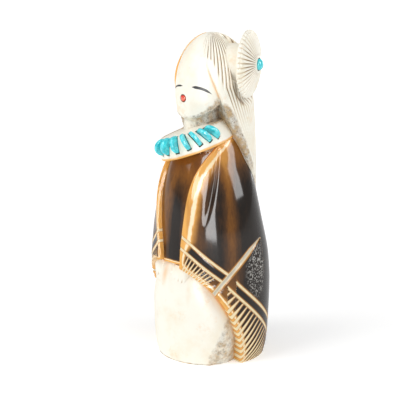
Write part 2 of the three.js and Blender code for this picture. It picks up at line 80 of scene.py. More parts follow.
body = {
    "halfWidth": 17.6, "reach": 17.4,
    "shares": [0.0, 0.035, 0.11, 0.23, 0.31, 0.36, 0.43, 0.52, 0.58, 0.62, 0.66, 0.69],
    "side": [0.909, 0.955, 0.983, 1.0, 1.0, 0.972, 0.92, 0.824, 0.722, 0.636, 0.58, 0.511],
    "front": [0.914, 0.954, 0.977, 1.0, 1.0, 0.989, 0.96, 0.902, 0.833, 0.759, 0.655, 0.54],
    "back": [0.874, 0.914, 0.954, 0.977, 0.925, 0.874, 0.764, 0.661, 0.626, 0.598, 0.563, 0.494],
}


def bodyRadius(angle, z):  # oval of the three outline curves at this height
    s = z / height
    side, front, back = (station(body, key, s) for key in ("side", "front", "back"))
    return oval(angle, body["halfWidth"] * side, body["reach"] * front, body["reach"] * back, 2.0)


shawl = {
    "waist": 30.0, "waistAngle": (13.0, 10.0), "shoulder": 64.0, "shoulderAngle": (58.0, 56.0),
    "edgeStraight": (0.22, 0.0), "edgeCurve": (7.0, 1.4), "archHalf": 77.0, "archAngleCurve": 1.7,
    "archTop": (29.8, 30.6), "archCurve": (1.9, 2.6), "top": 65.0, "edgeRound": 0.45,
    "roll": 0.55, "rollWidth": 7.0, "rollRamp": (28.0, 34.0),
    "fold": 0.7, "foldWidth": 3.2, "foldAngle": (42.0, 56.0), "foldBottom": 46.0, "foldRamp": (40.0, 54.0),
    "columns": 262, "inner": 4.0, "levels": ((0, 4), (1.2, 92), (38, 34), (60, 10)),
}


def pick(pair, near):  # first of a pair on her left, second on her right
    return np.where(near, pair[0], pair[1])


def shawlEdge(z, near):  # the wider of the parting above the waist and the arch below it
    climb = np.maximum(z - shawl["waist"], 0) / (shawl["shoulder"] - shawl["waist"])
    waist = pick(shawl["waistAngle"], near)
    straight = pick(shawl["edgeStraight"], near)
    parting = straight * climb + (1 - straight) * climb ** pick(shawl["edgeCurve"], near)
    opening = waist + (pick(shawl["shoulderAngle"], near) - waist) * parting
    top = pick(shawl["archTop"], near)
    drop = 1 - (np.clip(z, 0, top) / top) ** pick(shawl["archCurve"], near)
    return np.maximum(opening, shawl["archHalf"] * np.maximum(drop, 0) ** (1 / shawl["archAngleCurve"]))


def archHeight(angle):  # the arch's superellipse solved for height
    near = angle >= 0
    left = 1 - np.minimum(np.abs(angle) / shawl["archHalf"], 1) ** shawl["archAngleCurve"]
    return pick(shawl["archTop"], near) * left ** (1 / pick(shawl["archCurve"], near))


def belowArch(angle, z):  # down and sideways gaps give the distance to the slanting edge between them
    down = archHeight(angle) - z
    sideways = np.radians(shawlEdge(z, angle >= 0) - np.abs(angle)) * bodyRadius(angle, z)
    inside = (down > 0) & (sideways > 0)
    return np.where(inside, down * sideways / np.maximum(np.hypot(down, sideways), 1e-6), 0)


head = {
    "widest": 77.0, "halfWidth": 8.8, "reach": 11.1, "back": 9.5, "square": 2.1,
    "rise": 2.2, "round": 2.0, "chin": 71.6, "jawRise": 3.4, "jawEnd": 56.0,
    "jawLimit": 84.0, "jawSoft": 1.4, "tuck": 0.5, "neck": 5.0, "neckForward": 4.0,
}


def jawHeight(angle):  # rises with the square of the angle from the front
    return head["chin"] + head["jawRise"] * (np.abs(angle) / head["jawEnd"]) ** 2


def domeShare(z):  # superellipse from the head's widest level to its top
    climb = np.clip((z - head["widest"]) / (height - head["widest"]), 0, 1)
    return np.maximum(1 - climb ** head["rise"], 0) ** (1 / head["round"])


def signed(angle):  # 0 to 360 turned into -180 to 180
    return np.where(angle > 180, angle - 360, angle)


core = {
    "skirtInset": 5.0, "dressInset": 1.0, "neckStart": 61, "dressEnd": 67, "chinReach": 6.4,
    "columns": 300, "pull": 40,
    "levels": (
        (0, 2), (29, 4), (31, 46), (61, 10), (66.5, 8), (70.2, 14), (73, 12), (78, 36), (92, 10),
        (93.9, 5), (94.4, 1), (94.46,),
    ),
}


def coreRadius(angle, z):  # dress below, then the neck's circle swelling into the face oval at the jaw
    a = np.radians(angle)
    lower = bodyRadius(angle, z) - np.where(z < shawl["waist"], core["skirtInset"], core["dressInset"])
    forward = head["neckForward"]
    neck = forward * np.cos(a) + np.sqrt(head["neck"] ** 2 - (forward * np.sin(a)) ** 2)
    tuck = head["tuck"] * (1 - smooth(head["chin"], head["widest"], z))
    face = oval(angle, head["halfWidth"] - tuck, head["reach"] - tuck, head["back"], head["square"])
    jaw = jawHeight(np.minimum(np.abs(signed(angle)), head["jawLimit"]))
    upper = neck + (face * domeShare(z) - neck) * smooth(jaw - head["jawSoft"], jaw, z)
    joined = np.where(z > core["dressEnd"], upper, np.maximum(lower, neck))
    return np.where(z < core["neckStart"], lower, joined)


hair = {
    "shares": [0.5, 0.62, 0.74, 0.825],
    "side": [12.3, 12.0, 10.9, 10.3], "front": [12.3, 12.0, 10.6, 9.8], "back": [12.4, 12.6, 12.9, 12.4],
    "square": 2.4, "bottom": 49.0, "edge": 45.0, "edgeHeight": 83.4, "slope": 2.45,
    "edgeRound": 0.6, "edgeRamp": (82, 88), "proud": 0.2, "lowProud": 0.6, "proudRamp": (76, 88),
    "strand": 6.4, "strandDepth": 0.3, "turnHeight": 80.0, "bare": 9, "crownBare": 25,
    "bareRamp": (87.3, 89.5), "strandRamp": 7, "topFade": 0.5, "topRamp": (94.0, 94.45),
    "columns": 280, "inner": 0.5, "under": 0.3, "levels": ((76, 36), (92.8, 8), (93.9, 4), (94.35,)),
}


def hairEdge(z):  # straight diagonal from the temple down and back
    return hair["edge"] + hair["slope"] * (hair["edgeHeight"] - z)


def strandPhase(angle, z):  # counts strands: upright on the crown, then spreading with the hair's edge
    fromFront = np.abs(signed(angle))
    top = hairEdge(hair["turnHeight"])
    low = top + (fromFront - hairEdge(z)) / (180 - hairEdge(z)) * (180 - top)
    return np.where(z < hair["turnHeight"], low, fromFront) / hair["strand"]


def strandStrength(angle, z):  # strands run out a little behind the smooth front edge and near the crown
    fromFront = np.abs(signed(angle))
    start = hairEdge(z) + hair["bare"] - hair["crownBare"] * smooth(*hair["bareRamp"], z)
    ramp = smooth(0, hair["strandRamp"], fromFront - start)
    return ramp * (1 - hair["topFade"] * smooth(*hair["topRamp"], z))


def ridges(phase):  # narrow rounded-bottom groove once per count, 0 on the lock and 1 in the groove
    return (0.5 + 0.5 * np.cos(2 * np.pi * phase)) ** 2.2


whorl = {
    "angle": 115.0, "height": 86.0, "radius": 9.6, "rim": 11.9, "dome": 2.6, "domeCurve": 1.7,
    "domeStart": 0.97, "thick": 1.3, "rimRound": 0.6, "stem": 5.6, "stemStart": 4.0, "stemEnd": 2.6,
    "ribs": 40, "ribDepth": 0.45, "ribRamp": (2.2, 5.0), "ribBack": 1.5, "ribFront": 0.7, "ribColumns": 7,
    "hollowWidth": 6.2, "hollowHeight": 10.0, "hollowAt": 84.5, "hollow": 1.3, "hollowRamp": (0.85, 1.05),
}


def hollowRing(angle, z, outline):  # ellipse distance about the whorl's place on the head
    across = np.radians(angle - whorl["angle"]) * outline
    return np.hypot(across / whorl["hollowWidth"], (z - whorl["hollowAt"]) / whorl["hollowHeight"])


def hairOutline(angle, z):  # oval of the hair's three curves, unchanged above the head's widest level
    s = np.minimum(z, head["widest"]) / height
    side, front, back = (station(hair, key, s) for key in ("side", "front", "back"))
    return oval(angle, side, front, back, hair["square"])


def hairRadius(angle, z):  # outline or head plus a little, less the whorl's hollow and the strand grooves
    outline = hairOutline(angle, z)
    proud = hair["proud"] + hair["lowProud"] * (1 - smooth(*hair["proudRamp"], z))
    crown = np.maximum(outline * domeShare(z), coreRadius(angle, z) + proud)
    hollow = whorl["hollow"] * (1 - smooth(*whorl["hollowRamp"], hollowRing(angle, z, outline)))
    groove = hair["strandDepth"] * ridges(strandPhase(angle, z)) * strandStrength(angle, z)
    fromFront = np.abs(signed(angle))
    near = np.maximum(np.radians(fromFront - hairEdge(z)) * outline, 0)
    rounded = roundOff(near, hair["edgeRound"]) * (1 - smooth(*hair["edgeRamp"], z))
    return crown - hollow - groove - rounded


def roundOff(distance, radius):  # quarter circle: how far an edge drops within one radius of it
    d = np.clip(distance, 0, radius)
    return radius - np.sqrt(np.maximum(radius**2 - (radius - d) ** 2, 0))


skirt = {
    "inset": 0.3, "recess": 2.4, "recessFall": 3.4, "recessPower": 1.5,
    "marrow": 0.9, "marrowStart": 43.0, "marrowSlope": 0.2, "marrowRamp": 1.2, "underEdge": 2,
    "columns": 110, "inner": 4.0, "levels": ((0, 4), (1.2, 30), (14, 24), (24, 30)),
}


def skirtRadius(angle, z):  # body less the cut under the arch, which dies away exponentially, and the marrow
    cut = skirt["recess"] * np.exp(-((belowArch(angle, z) / skirt["recessFall"]) ** skirt["recessPower"]))
    slope = (angle - skirt["marrowStart"]) * skirt["marrowSlope"]
    marrow = skirt["marrow"] * smooth(0, skirt["marrowRamp"], slope - z)
    return bodyRadius(angle, z) - skirt["inset"] - cut - marrow


lines = {
    "panel": ((104.5, 36.6), (46.0, 21.6), 1.5), "panelWidth": 0.75, "panelDepth": 0.7,
    "frontUpper": ((24.5, 36.7), (59.5, 28.3)), "frontLower": ((21.3, 33.9), (54.6, 26.1)),
    "backUpper": (68.7, 25.6, 13.6, 48.9, 0.93), "backLower": (60.4, 24.3, 15.6, 54.2, 0.95),
    "width": 0.42, "depth": 0.35, "fringeDepth": 0.22, "panelTaper": (0.15, 2.5), "meanRadius": 17.0,
    "frontFringe": 9, "frontShift": 0.4, "frontTop": (22.6, 28.6), "frontFoot": (16, 22),
    "backFringe": 21, "backTop": (60.5, 4.4), "backFoot": (77, 5.2), "archFoot": (22.2, 1.85),
    "archStrokes": 12, "halvings": 14, "strokeStart": (0.05, 0.2), "strokeEnd": (0.8, 1.0),
}


def borderHeight(name, a):  # straight borders in front, gently curved ones behind, as height over angle
    if name.startswith("front"):
        (a0, z0), (a1, z1) = lines[name]
        return z0 + (z1 - z0) * (a - a0) / (a1 - a0)
    a0, z0, fall, reach, power = lines[name]
    return z0 - fall * np.maximum((a - a0) / reach, 0) ** power


def panelHeight(a):  # the lapped panel's edge falls from behind towards the front with a power curve
    (a0, z0), (a1, z1), power = lines["panel"]
    return z0 + (z1 - z0) * np.clip((a - a0) / (a1 - a0), 0, 1.3) ** power


def slanted(gap, heightAt, a):  # height gap to a line times the cosine of the line's slope, in mm
    perDegree = np.radians(1) * lines["meanRadius"]
    slope = (heightAt(a + 0.5) - heightAt(a - 0.5)) / perDegree
    return gap / np.sqrt(1 + slope**2)


def carvedFields(angle, z):  # signed distances in mm to the panel line and both borders, noLine past ends
    a = np.abs(signed(angle))
    (top, _), (foot, _), _ = lines["panel"]
    panel = slanted(z - panelHeight(a), panelHeight, a)
    inPanel = (a < top) & (a > foot - 1)
    behind = (a > top) | ((panel < 0) & (a > foot))
    least, rise = lines["panelTaper"]
    taper = np.clip(least + rise * (top - a) / (top - foot), least, 1)  # narrows to a point at its top
    fields = [np.where(inPanel, panel / taper, noLine)]
    for edge in ("Upper", "Lower"):
        front = lambda x: borderHeight("front" + edge, x)
        back = lambda x: borderHeight("back" + edge, x)
        gap = np.where(behind, slanted(z - back(a), back, a), slanted(z - front(a), front, a))
        started = ~behind | (a > lines["back" + edge][0])
        fields.append(np.where(started, gap, noLine))
    return fields[0], fields[1], fields[2], behind


def frontStroke(k):  # top under the border and foot on the arch, at angles that grow evenly with the count
    s = (k + lines["frontShift"]) / lines["frontFringe"]
    (top, topSpan), (foot, footSpan) = lines["frontTop"], lines["frontFoot"]
    a0, a1 = top + topSpan * s, foot + footSpan * s
    return a0, borderHeight("frontLower", a0), a1, archHeight(a1)


def backStroke(k):  # feet come down the arch by an even step, then go back along the base by an even angle
    (top, topStep), (foot, footStep), (start, drop) = lines["backTop"], lines["backFoot"], lines["archFoot"]
    a0 = top + topStep * k
    z1 = np.maximum(start - drop * k, 0)
    turned = lines["archStrokes"]
    a1 = np.where(k < turned, shawlEdge(z1, True), foot + footStep * (k - turned))
    return a0, borderHeight("backLower", a0), a1, z1


def strokeCount(a, z, stroke, last):  # halving search for the stroke through a point, and the share up it
    low, high = np.full(a.shape, -2.0), np.full(a.shape, float(last))
    for _ in range(lines["halvings"]):
        mid = (low + high) / 2
        a0, z0, a1, z1 = stroke(mid)
        beyond = (a0 - a1) * (z - z1) - (z0 - z1) * (a - a1) < 0
        low, high = np.where(beyond, mid, low), np.where(beyond, high, mid)
    a0, z0, a1, z1 = stroke((low + high) / 2)
    return (low + high) / 2, np.clip((z - z1) / np.maximum(z0 - z1, 0.1), 0, 1.5)


def fringe(angle, z):  # stroke count and share for the front or the back fringe
    a = np.abs(signed(angle))
    behind = carvedFields(angle, z)[3]
    frontCount, frontShare = strokeCount(a, z, frontStroke, lines["frontFringe"])
    backCount, backShare = strokeCount(a, z, backStroke, lines["backFringe"])
    return np.where(behind, backCount, frontCount), np.where(behind, backShare, frontShare)


def vee(distance, half):  # groove that is deepest on its line and gone at its half width
    return np.clip(1 - np.abs(distance) / half, 0, 1)


def carvedDepth(angle, z):  # the deepest of panel line, borders and fringe strokes
    panel, upper, lower, _ = carvedFields(angle, z)
    count, share = fringe(angle, z)
    stroke = ridges(count) * smooth(*lines["strokeStart"], share) * (1 - smooth(*lines["strokeEnd"], share))
    depth = np.maximum(lines["panelDepth"] * vee(panel, lines["panelWidth"]), lines["fringeDepth"] * stroke)
    for border in (upper, lower):
        depth = np.maximum(depth, lines["depth"] * vee(border, lines["width"]))
    return depth


def shawlRadius(angle, z):  # body plus the rolled edge, less the shoulder fold, carved lines and rounded rim
    near = angle <= 180
    fromFront = np.where(near, angle, 360 - angle)
    past = fromFront - shawlEdge(z, near)
    roll = shawl["roll"] * bell(past, 0, shawl["rollWidth"]) * smooth(*shawl["rollRamp"], z)
    low, top = shawl["foldAngle"]
    foldAt = low + (top - low) * (z - shawl["foldBottom"]) / (shawl["shoulder"] - shawl["foldBottom"])
    fold = shawl["fold"] * bell(fromFront, foldAt, shawl["foldWidth"])
    fold = fold * smooth(*shawl["foldRamp"], z)
    base = bodyRadius(angle, z) + roll - fold
    groove = carvedDepth(angle, z)
    rim = roundOff(np.radians(np.maximum(past, 0)) * base, shawl["edgeRound"])
    return base - groove - rim


def polar(angle, radius, z):  # angle from the front towards her left, as x, y, z
    a = np.radians(angle)
    return np.stack([radius * np.sin(a), -radius * np.cos(a), z + 0 * radius], axis=-1)


def gathered(count, pull):  # shares from 0 to 1, closer together at both ends
    u = np.linspace(0, 1, count)
    return u - pull * np.sin(2 * np.pi * u) / (2 * np.pi)


def levels(*stops):  # heights with a chosen number of steps between stops
    parts = [np.linspace(a[0], b[0], a[1], endpoint=False) for a, b in zip(stops[:-1], stops[1:])]
    return np.concatenate(parts + [[stops[-1][0]]])


def placed(name, data):  # a new object in the scene
    made = bpy.data.objects.new(name, data)
    scene.collection.objects.link(made)
    return made


def makeObject(name, points, faces):  # a mesh from arrays, its shell number kept on each face
    mesh = bpy.data.meshes.new(name)
    mesh.from_pydata((points * mm).tolist(), [], faces)
    mesh.validate()
    mark = mesh.attributes.new("shell", "INT", "FACE")
    mark.data.foreach_set("value", np.full(len(mesh.polygons), shells.get(name, 0), dtype=np.int32))
    return placed(name, mesh)


def quads(rows, cols, start, wrap, flip=False):  # four corners of every cell of a rows by cols grid
    j, i = np.meshgrid(np.arange(rows - 1), np.arange(cols if wrap else cols - 1), indexing="ij")
    a = start + j * cols + i
    b = start + j * cols + (i + 1) % cols
    order = [a, a + cols, b + cols, b] if flip else [a, b, b + cols, a + cols]
    return np.stack([o.ravel() for o in order], axis=-1)


def turnedShell(name, grid):  # grid of rings closed by one point below and one above
    rows, cols, _ = grid.shape
    points = np.concatenate([grid.reshape(-1, 3), [grid[0].mean(axis=0), grid[-1].mean(axis=0)]])
    ring = np.arange(cols)
    nextRing = (ring + 1) % cols
    low, high = rows * cols, rows * cols + 1
    bottom = np.stack([np.full(cols, low), nextRing, ring], axis=-1)
    top = np.stack([np.full(cols, high), ring + (rows - 1) * cols, nextRing + (rows - 1) * cols], axis=-1)
    faces = quads(rows, cols, 0, True).tolist() + bottom.tolist() + top.tolist()
    return makeObject(name, points, faces)


def patchShell(name, outer, inner):  # two facing grids joined by walls round their rims
    rows, cols, _ = outer.shape
    layer = rows * cols
    points = np.concatenate([outer.reshape(-1, 3), inner.reshape(-1, 3)])
    j, i = np.arange(rows - 1), np.arange(cols - 1)
    left, right, low, high = j * cols, j * cols + cols - 1, i, (rows - 1) * cols + i
    walls = [
        np.stack([left, left + cols, layer + left + cols, layer + left], axis=-1),
        np.stack([right, layer + right, layer + right + cols, right + cols], axis=-1),
        np.stack([low, layer + low, layer + low + 1, low + 1], axis=-1),
        np.stack([high, high + 1, layer + high + 1, layer + high], axis=-1),
    ]
    faces = np.concatenate([quads(rows, cols, 0, False), quads(rows, cols, layer, False, True)] + walls)
    return makeObject(name, points, faces.tolist())


def sheetOf(columns, z, angleAt, outerAt, inner):  # outer radius over angle and height, plain inner side
    u, level = np.meshgrid(columns, z)
    angle = angleAt(u, level)
    return polar(angle, outerAt(angle, level), level), polar(angle, inner + 0 * level, level)


def makeCore():  # closed turn, closer in front, its levels bent to follow the jaw
    base = np.linspace(0, 1, core["columns"], endpoint=False)
    turn = 360 * base - core["pull"] * np.sin(2 * np.pi * base)
    angle, z = np.meshgrid(turn, levels(*core["levels"]))
    fromFront = np.minimum(angle, 360 - angle)
    lift = jawHeight(np.minimum(fromFront, head["jawEnd"])) - head["chin"]
    z = z + lift * np.maximum(1 - np.abs(z - head["chin"]) / core["chinReach"], 0)
    return turnedShell("core", polar(angle, coreRadius(angle, z), z))


def makeSkirt():  # sheet from edge to edge of the arch, and a little under the shawl on both sides
    z = levels(*skirt["levels"], (shawl["archTop"][0],))

    def angleAt(u, level):
        start = -shawlEdge(level, False) - skirt["underEdge"]
        return start + (shawlEdge(level, True) + skirt["underEdge"] - start) * u

    columns = gathered(skirt["columns"], 0.5)
    return patchShell("skirt", *sheetOf(columns, z, angleAt, skirtRadius, skirt["inner"]))


def makeShawl():  # sheet from her left edge round the back to her right edge
    z = levels(*shawl["levels"], (shawl["top"],))

    def angleAt(u, level):
        start = shawlEdge(level, True)
        return start + (360 - shawlEdge(level, False) - start) * u

    columns = gathered(shawl["columns"], 0.35)
    return patchShell("shawl", *sheetOf(columns, z, angleAt, shawlRadius, shawl["inner"]))


def makeHair():  # sheet from temple to temple round the back, its inner side drawn in with the dome
    z = levels((hair["bottom"], 30), *hair["levels"])
    u, level = np.meshgrid(gathered(hair["columns"], 0.3), z)
    edge = hairEdge(level)
    angle = edge + (360 - 2 * edge) * u
    outer = polar(angle, hairRadius(angle, level), level)
    inner = polar(angle, hair["inner"] * domeShare(level), level - hair["under"])
    return patchShell("hair", outer, inner)


def frameOf(axis):  # two directions at right angles to an axis, completing a right-handed set
    side = np.cross([0, 0, 1.0], axis)
    side = side / np.linalg.norm(side)
    return side, np.cross(axis, side)


def revolved(profile, count, origin, axis):  # profile of (radius, distance along axis) turned about the axis
    side, up = frameOf(axis)
    turn = np.linspace(0, 2 * np.pi, count, endpoint=False)
    radius, along = profile[:, :1], profile[:, 1:]
    ring = radius[..., None] * (np.cos(turn)[None, :, None] * side + np.sin(turn)[None, :, None] * up)
    return origin + ring + along[..., None] * axis


collar = {
    "forward": 5.2, "height": 62.0, "tilt": 19.6, "low": -57.0, "radius": 11.0, "top": 31.0,
    "neck": 5.4, "neckHeight": 6.2, "inset": 0.3, "under": 0.25, "columns": 200,
}

whorlAxis = polar(whorl["angle"], np.array(1.0), np.array(0.0))
tilt = math.radians(collar["tilt"])
collarAxis = polar(collar["low"], np.array(math.sin(tilt)), np.array(math.cos(tilt)))
collarLow = polar(collar["low"], np.array(math.cos(tilt)), np.array(-math.sin(tilt)))
collarSide = np.cross(collarAxis, collarLow)
collarCentre = np.array([0, -collar["forward"], collar["height"]])


def makeWhorl():  # stem, rim and shallow dome turned about the axis, grooves shrinking every other stretch
    reach, r, round, stem = whorl["rim"], whorl["radius"], whorl["rimRound"], whorl["stem"]
    half, under = whorl["thick"] / 2, reach - whorl["stemEnd"]
    bend = np.radians(np.linspace(-90, 90, 9))
    domeR = r * (1 - np.linspace(0, 1, 26)[1:]) * whorl["domeStart"]
    domeH = reach + whorl["dome"] * (1 - (domeR / r) ** whorl["domeCurve"])
    rows = [
        np.array([[stem, whorl["stemStart"]], [stem, under]]),
        np.linspace([stem, under], [r - round, reach - whorl["thick"]], 8)[1:-1],
        np.column_stack([r - round + round * np.cos(bend), reach - half + half * np.sin(bend)]),
        np.column_stack([domeR, domeH])[:-1],
    ]
    profile = np.concatenate(rows)
    columns = whorl["ribs"] * whorl["ribColumns"]
    grid = revolved(profile, columns, np.array([0, 0, whorl["height"]]), whorlAxis)
    ribs = ridges(np.linspace(0, 1, columns, endpoint=False) * whorl["ribs"])[None, :]
    depth = whorl["ribDepth"] * ribs * smooth(*whorl["ribRamp"], profile[:, 0])[:, None]
    depth = depth * smooth(reach - whorl["ribBack"], reach - whorl["ribFront"], profile[:, 1])[:, None]
    return turnedShell("whorl", grid - depth[..., None] * whorlAxis)


def makeCollar():  # part of a circle turned about the leaning axis, then a straight rise to the neck
    radius = collar["radius"]
    lift = np.radians(np.linspace(0, collar["top"], 22))
    arc = np.column_stack([radius * np.cos(lift), radius * np.sin(lift)])
    start, end = [radius - collar["inset"], -collar["under"]], [collar["neck"], collar["neckHeight"]]
    profile = np.concatenate([[start], arc, [end]])
    return turnedShell("collar", revolved(profile, collar["columns"], collarCentre, collarAxis))


hands = {
    "height": 24.4, "halfHeight": 5.2, "angle": (9.5, -28.0), "half": (10.5, 13.0),
    "lean": (0.9, -0.9), "rise": 2.2, "inset": 0.9, "depth": 3, "fingers": 4, "groove": 0.35,
    "grooveRamp": (-0.4, 0.4), "narrow": 0.72, "widen": 0.28, "wristRamp": (-1, 0.6), "grid": (41, 33),
}


def makeHand(side):  # pad rounded by fourth powers towards its sides and fingertips, less the finger grooves
    centre, half, lean = hands["angle"][side], hands["half"][side], hands["lean"][side]
    columns, rows = hands["grid"]
    u, v = np.meshgrid(np.linspace(0, 1, columns), np.linspace(0, 1, rows))
    across, up = 2 * u - 1, 2 * v - 1
    z = hands["height"] + hands["halfHeight"] * up
    narrow = hands["narrow"] + hands["widen"] * smooth(*hands["wristRamp"], up)
    angle = centre + lean * (z - hands["height"]) + half * narrow * across
    rounded = np.sqrt(np.maximum(1 - across**4, 0)) * np.sqrt(np.maximum(1 - np.maximum(-up, 0) ** 4, 0))
    groove = hands["groove"] * ridges(u * hands["fingers"]) * (1 - smooth(*hands["grooveRamp"], up))
    base = bodyRadius(angle, z) - hands["rise"] - hands["inset"]
    outer = polar(angle, base + hands["rise"] * rounded - groove * rounded, z)
    return patchShell("hand", outer, polar(angle, base - hands["depth"], z))


stones = {
    "angles": [-16, -1, 16, 33, 49, 64, 78], "radius": 2.45, "thick": 1.1, "round": 0.3,
    "reach": 11.1, "elevation": 20.6, "fan": (-1.7, -18.1, 77.5), "gap": 0.3,
}


def stoneSeat(angle):  # a stone's centre and normal, its plane holding the outward line and the fan point
    a, e = math.radians(angle - collar["low"]), math.radians(stones["elevation"])
    out = collarLow * math.cos(a) + collarSide * math.sin(a)
    direction = out * math.cos(e) + collarAxis * math.sin(e)
    centre = collarCentre + direction * stones["reach"]
    normal = np.cross(direction, np.array(stones["fan"]) - centre)
    return centre, normal / np.linalg.norm(normal)


def slotCutter(angle):  # the stone's slab with the gap round it
    centre, normal = stoneSeat(angle)
    half, r = stones["thick"] / 2 + stones["gap"] * 0.6, stones["radius"] + stones["gap"]
    profile = np.array([[0.5, -half], [r, -half], [r, half], [0.5, half]])
    return turnedShell("slot", revolved(profile, 32, centre, normal))


inlays = {
    "mouthHeight": 76.9, "mouthRadius": 0.85, "mouthDepth": 1.6, "mouthProud": 0.25,
    "cabochonRadius": 1.6, "cabochonSeat": 1.1, "cabochonRise": 0.95, "gap": 0.3,
}


def domed(radius, bottom, shoulder, rise, steps=8):  # straight wall to the shoulder, then a quarter ellipse
    turn = np.radians(np.linspace(0, 84, steps))
    dome = np.column_stack([radius * np.cos(turn), shoulder + rise * np.sin(turn)])
    return np.concatenate([[[radius * 0.9, bottom], [radius, bottom + 0.1]], dome])


mouthSeat = np.array([0, -coreRadius(np.array(0.0), np.array(inlays["mouthHeight"])), inlays["mouthHeight"]])
forwards = np.array([0, -1.0, 0])
cabochonSpot = np.array([0, 0, whorl["height"]]) + whorlAxis * (whorl["rim"] + whorl["dome"])


def holeCutter(radius, depth, spot, axis):  # an inlay's plug with the gap round it
    profile = domed(radius + inlays["gap"], -depth - inlays["gap"], 2.0, 1.0)
    return turnedShell("hole", revolved(profile, 40, spot, axis))


def combined(base, joins, cuts):  # one solid from closed shells, with the operands removed again
    for operand, operation in [(o, "UNION") for o in joins] + [(o, "DIFFERENCE") for o in cuts]:
        step = base.modifiers.new(operation, "BOOLEAN")
        step.solver = "MANIFOLD"
        step.operation = operation
        step.object = operand
    graph = bpy.context.evaluated_depsgraph_get()
    mesh = bpy.data.meshes.new_from_object(base.evaluated_get(graph))
    base.modifiers.clear()
    base.data = mesh
    for operand in joins + cuts:
        bpy.data.objects.remove(operand)
    return base


def hairStrength(angle, z):  # dirt stays in the strands, and dirt with painted shade gathers in the hollow behind the whorl
    # painted shade and dirt in a ring round the whorl's hollow
    ring = bell(hollowRing(angle, z, hairOutline(angle, z)), 0.98, 0.1)
    rim = ring * (1 - smooth(88, 91, z)) * (1 - smooth(104, 112, angle))
    low = 0.4 + 0.6 * smooth(66, 80, z) + 0.15 * smooth(88, 93, z)
    return np.maximum(ridges(strandPhase(angle, z)) * strandStrength(angle, z) * low, rim)


def rindTone(angle, z, dress):  # 0 dark to 1 amber, from bell curves over angle and height
    a = np.abs(angle)
    past = a - shawlEdge(z, angle >= 0)
    shoulder = smooth(50, 62, z)
    over = 0.34 * bell(past, 13, 10)
    for amount, centre, width in ((0.42, 66, 9), (0.1, 40, 10), (0.3, 150, 18)):
        over = over + amount * bell(a, centre, width)
    over = over + 0.5 * shoulder * (1 - smooth(100, 124, a))
    under = 0.45 + 0.1 * shoulder - 0.62 * bell(angle, 5, 8) * bell(z, 41, 11) - 0.2 * bell(z, 33, 3)
    under = under - 0.7 * smooth(-5, 12, angle) * smooth(59.5, 62, z - 0.04 * angle)
    return np.clip(np.where(dress, under, over), 0, 1)


def readAll(items, key, kind=np.int32, each=1):  # one property of all items of a mesh, as an array
    values = np.empty(len(items) * each, dtype=kind)
    items.foreach_get(key, values)
    return values


def wornDistance(angle, z, radius, dress):  # from the shawl's edge, longer where its worn colour is narrow
    a, near = np.abs(angle), angle >= 0
    past = np.radians(a - shawlEdge(z, near)) * radius
    rise = z - archHeight(angle)
    inCorner = (rise > 0) & (past > 0) & (a < shawl["archHalf"]) & (z < shawl["archTop"][1])
    hem = np.where(inCorner, past * rise / np.maximum(np.hypot(past, rise), 1e-6), past)
    above = smooth(shawl["waist"] + 1, shawl["waist"] + 8, z)
    hem = np.maximum(hem, 0) * np.where(near, 2.2 - 1.2 * above, 2.2 + 3.4 * above)
    return np.where(dress, 4.5 * (z - shawl["archTop"][0] - 0.2), hem)


def whorlGrime(x, y, z):  # in the rib grooves, less towards the rim, and a little all over the stem
    up, aside = z - whorl["height"], x * -whorlAxis[1] + y * whorlAxis[0]
    turn, fromWhorl = np.degrees(np.arctan2(up, aside)) / 360, np.hypot(up, aside)
    outward = x * whorlAxis[0] + y * whorlAxis[1]
    spokes = ridges(turn * whorl["ribs"]) * smooth(1.8, 3.0, fromWhorl) * (outward > whorl["rim"] - 1.0)
    spokes = spokes * (1 - 0.45 * smooth(5.5, 9.2, fromWhorl))
    return np.maximum(spokes, (outward < whorl["rim"] - 1.4) * 0.3)


def stainAndShadeAmount(on, face, angle, z, edge, axisHeight):  # warm stain and painted shade in bands where parts meet, and in two patches
    # painted shade and warm stain at the collar's foot
    stainAndShade = np.where(on["collar"], 1 - smooth(0.0, 0.9, axisHeight), 0)
    stainAndShade = np.where(face & (z > 74), 0.55 * bell(edge, -0.2, 0.5) * (1 - smooth(84, 90, z)), stainAndShade)
    hairline = bell(edge, 0.1, 0.45) * np.where(angle < 0, 0.9, 0.3 * (1 - smooth(81, 85, z)))
    stainAndShade = np.where(on["hair"], hairline * smooth(72, 78, z), stainAndShade)
    # painted shade and warm stain in the recess under the arch
    stainAndShade = np.where(on["skirt"], 0.75 * (1 - smooth(0, 1.5, belowArch(angle, z))), stainAndShade)
    # warm stain and painted shade in two patches on the skirt, one between the hands
    for amount, centre, width, spot, tall in ((0.45, -9, 6, 26, 4), (0.3, 22, 4, 22, 5)):
        patch = amount * bell(angle, centre, width) * bell(z, spot, tall)
        stainAndShade = np.where(on["skirt"], np.maximum(stainAndShade, patch), stainAndShade)
    # painted shade and warm stain on the tops of the hands under the arch
    stainAndShade = np.where(on["hand"], 0.35 * smooth(26, 29.5, z), stainAndShade)
    return stainAndShade


